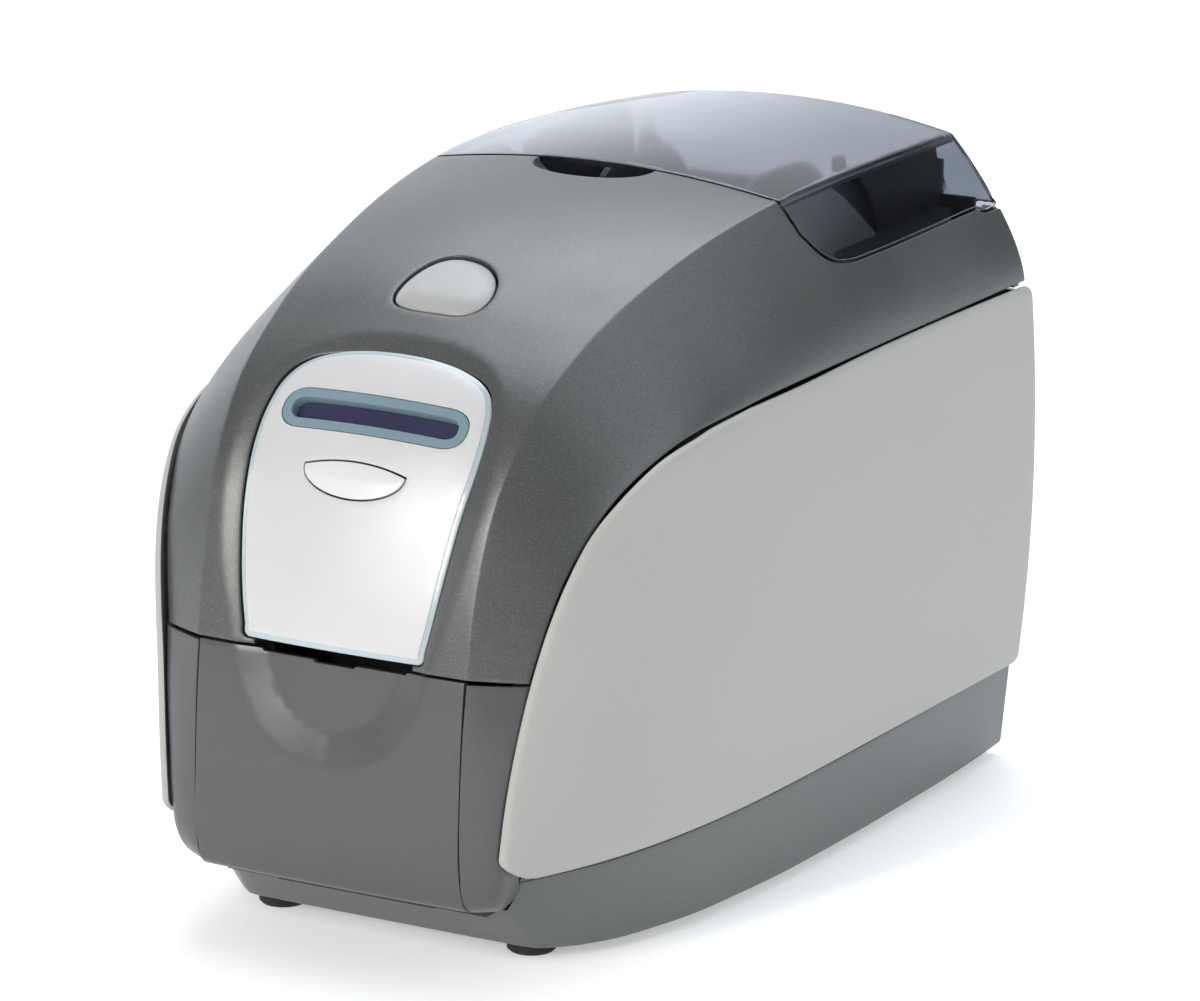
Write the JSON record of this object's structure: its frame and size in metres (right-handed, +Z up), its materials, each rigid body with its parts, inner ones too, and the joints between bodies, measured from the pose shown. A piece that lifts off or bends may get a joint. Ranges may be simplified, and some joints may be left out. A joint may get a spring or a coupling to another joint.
{
  "type": "id card printer",
  "caption": "Desktop card printer: crowned front cover with display fascia, smoke lid over the card feeder, light side panels and a drop-down hopper door.",
  "frame": {"origin": "on the surface it stands on, at the middle of the part's footprint", "axes": "+X to the right seen from the front, +Y to the back, +Z up"},
  "size_m": [0.1978, 0.329, 0.2419],
  "materials": {
    "cover_plastic": "satin, fine metallic fleck",
    "bezel_plastic": "satin, fine metallic fleck",
    "base_plastic": "matte, fine texture",
    "panel_plastic": "smooth matte",
    "fascia_silver": "satin silver",
    "fascia_edge": "clear cool edge",
    "ring_plastic": "matte",
    "display_glass": "clear screen",
    "button_silver": "satin silver",
    "button_grey": "smooth matte",
    "smoke_clear": "clear smoke tint, polished",
    "lid_arm_plastic": "moulded",
    "black_plastic": "moulded, fine texture",
    "gate_blue": "moulded",
    "foot_rubber": "matte",
    "belt_rubber": "matte",
    "roller_rubber": "ground",
    "feed_rubber": "ground",
    "white_plastic": "moulded",
    "sheet_steel": "zinc plated",
    "pin_steel": "ground",
    "bush_brass": "machined",
    "motor_steel": "black",
    "pulley_aluminium": "machined",
    "board_green": "solder mask",
    "head_ceramic": "ceramic"
  },
  "bodies": {
    "chassis": {"base_tray": "base_plastic", "rubber_feet": "foot_rubber", "left_side_panel": "panel_plastic", "right_side_panel": "panel_plastic", "left_corner_bezel": "bezel_plastic", "right_corner_bezel": "bezel_plastic", "rear_panel": "base_plastic", "left_frame": "sheet_steel", "right_frame": "sheet_steel", "card_deck": "black_plastic", "output_hopper": "black_plastic", "card_cassette": "black_plastic", "feeder_guides": "black_plastic", "shaft_bushes": "bush_brass", "drive_motor": "motor_steel", "drive_belt": "belt_rubber", "feed_belt": "belt_rubber", "ribbon_motor": "motor_steel", "main_board": "board_green", "board_parts": "black_plastic", "power_socket": "black_plastic", "usb_socket": "sheet_steel", "switch_frame": "black_plastic", "hinge_brackets": "sheet_steel", "casing_pins": "pin_steel", "panel_posts": "black_plastic", "frame_screws": "pin_steel"},
    "cover": {"top_cover": "cover_plastic", "cover_side_brackets": "black_plastic", "cover_hinge_rail": "cover_plastic", "lid_hinge_pins": "pin_steel", "fascia_surround": "fascia_edge", "fascia_panel": "fascia_silver", "display_ring": "ring_plastic", "display_window": "display_glass", "display_module": "black_plastic", "control_board": "board_green"},
    "lid": {"smoke_lid": "smoke_clear", "lid_hinge_arms": "lid_arm_plastic"},
    "release": {"release_button": "button_grey"},
    "latch": {"latch_lever": "black_plastic"},
    "select": {"select_button": "button_silver"},
    "head": {"head_carrier": "black_plastic", "thermal_printhead": "head_ceramic", "heat_sink": "pulley_aluminium"},
    "door": {"front_door": "bezel_plastic", "door_hinge_ears": "black_plastic"},
    "rocker": {"power_rocker": "black_plastic"},
    "weight": {"card_weight": "black_plastic"},
    "gate": {"gate_lever": "gate_blue"},
    "motor_shaft": {"motor_pulley": "pulley_aluminium"},
    "platen": {"platen_roller": "roller_rubber"},
    "input": {"input_roller": "roller_rubber"},
    "exit": {"exit_roller": "roller_rubber"},
    "feed": {"feed_roller": "feed_rubber"},
    "input_pinch": {"input_pinch_roller": "white_plastic"},
    "exit_pinch": {"exit_pinch_roller": "white_plastic"},
    "supply": {"supply_spindle": "white_plastic"},
    "take_up": {"take_up_spindle": "white_plastic"},
    "pinion": {"ribbon_pinion": "white_plastic"}
  },
  "joints": [
    {"name": "cover_hinge", "type": "hinge", "parent": "chassis", "child": "cover", "pos_m": [0, 0.15, 0.186], "axis": [-1, 0, 0], "range_deg": [0, 70]},
    {"name": "lid_hinge", "type": "hinge", "parent": "cover", "child": "lid", "pos_m": [0, 0.1516, 0.2124], "axis": [-1, 0, 0], "range_deg": [0, 80]},
    {"name": "door_hinge", "type": "hinge", "parent": "chassis", "child": "door", "pos_m": [0, -0.1516, 0.0298], "axis": [1, 0, 0], "range_deg": [0, 90]},
    {"name": "release_press", "type": "slide", "parent": "cover", "child": "release", "axis": [0, 0.3564, -0.9343], "range_m": [0, 0.003], "stiffness_N_per_m": 400, "springref_m": -0.0015},
    {"name": "latch_swing", "type": "hinge", "parent": "cover", "child": "latch", "pos_m": [0, -0.112, 0.176], "axis": [-1, 0, 0], "range_deg": [0, 4.4]},
    {"name": "select_press", "type": "slide", "parent": "cover", "child": "select", "axis": [0, 0.8792, -0.4764], "range_m": [0, 0.0012], "stiffness_N_per_m": 400, "springref_m": -0.001},
    {"name": "head_swing", "type": "hinge", "parent": "cover", "child": "head", "pos_m": [0, -0.016, 0.146], "axis": [1, 0, 0], "range_deg": [0, 1.4], "stiffness_Nm_per_rad": 0.6, "springref_deg": -6.88},
    {"name": "rocker_tilt", "type": "hinge", "parent": "chassis", "child": "rocker", "pos_m": [0, 0.1606, 0.057], "axis": [-1, 0, 0], "range_deg": [-16, 0]},
    {"name": "weight_lift", "type": "slide", "parent": "chassis", "child": "weight", "axis": [0, 0, 1], "range_m": [0, 0.06]},
    {"name": "gate_slide", "type": "slide", "parent": "chassis", "child": "gate", "axis": [0, 0, 1], "range_m": [0, 0.004]},
    {"name": "platen_turn", "type": "hinge", "parent": "chassis", "child": "platen", "pos_m": [0, -0.045, 0.11], "axis": [1, 0, 0], "continuous": true},
    {"name": "input_turn", "type": "hinge", "parent": "chassis", "child": "input", "pos_m": [0, 0.01, 0.11], "axis": [1, 0, 0], "continuous": true},
    {"name": "exit_turn", "type": "hinge", "parent": "chassis", "child": "exit", "pos_m": [0, -0.095, 0.11], "axis": [1, 0, 0], "continuous": true},
    {"name": "feed_turn", "type": "hinge", "parent": "chassis", "child": "feed", "pos_m": [0, 0.088, 0.11], "axis": [1, 0, 0], "continuous": true},
    {"name": "motor_turn", "type": "hinge", "parent": "chassis", "child": "motor_shaft", "pos_m": [0, -0.04, 0.058], "axis": [1, 0, 0], "continuous": true},
    {"name": "input_pinch_turn", "type": "hinge", "parent": "chassis", "child": "input_pinch", "pos_m": [0, 0.01, 0.1248], "axis": [1, 0, 0], "continuous": true},
    {"name": "exit_pinch_turn", "type": "hinge", "parent": "chassis", "child": "exit_pinch", "pos_m": [0, -0.095, 0.1248], "axis": [1, 0, 0], "continuous": true},
    {"name": "supply_turn", "type": "hinge", "parent": "chassis", "child": "supply", "pos_m": [0, 0.006, 0.158], "axis": [1, 0, 0], "continuous": true},
    {"name": "take_up_turn", "type": "hinge", "parent": "chassis", "child": "take_up", "pos_m": [0, -0.092, 0.152], "axis": [1, 0, 0], "continuous": true},
    {"name": "pinion_turn", "type": "hinge", "parent": "chassis", "child": "pinion", "pos_m": [0, -0.0711, 0.152], "axis": [1, 0, 0], "continuous": true}
  ],
  "couplings": [
    {"joint": "latch_swing", "follows": "release_press", "rad_per_m": 24},
    {"joint": "input_turn", "follows": "platen_turn", "ratio": 1},
    {"joint": "exit_turn", "follows": "platen_turn", "ratio": 1},
    {"joint": "feed_turn", "follows": "platen_turn", "ratio": 1},
    {"joint": "motor_turn", "follows": "platen_turn", "ratio": 1},
    {"joint": "input_pinch_turn", "follows": "platen_turn", "ratio": -1.3333},
    {"joint": "exit_pinch_turn", "follows": "platen_turn", "ratio": -1.3333},
    {"joint": "pinion_turn", "follows": "take_up_turn", "ratio": -3.3333}
  ]
}
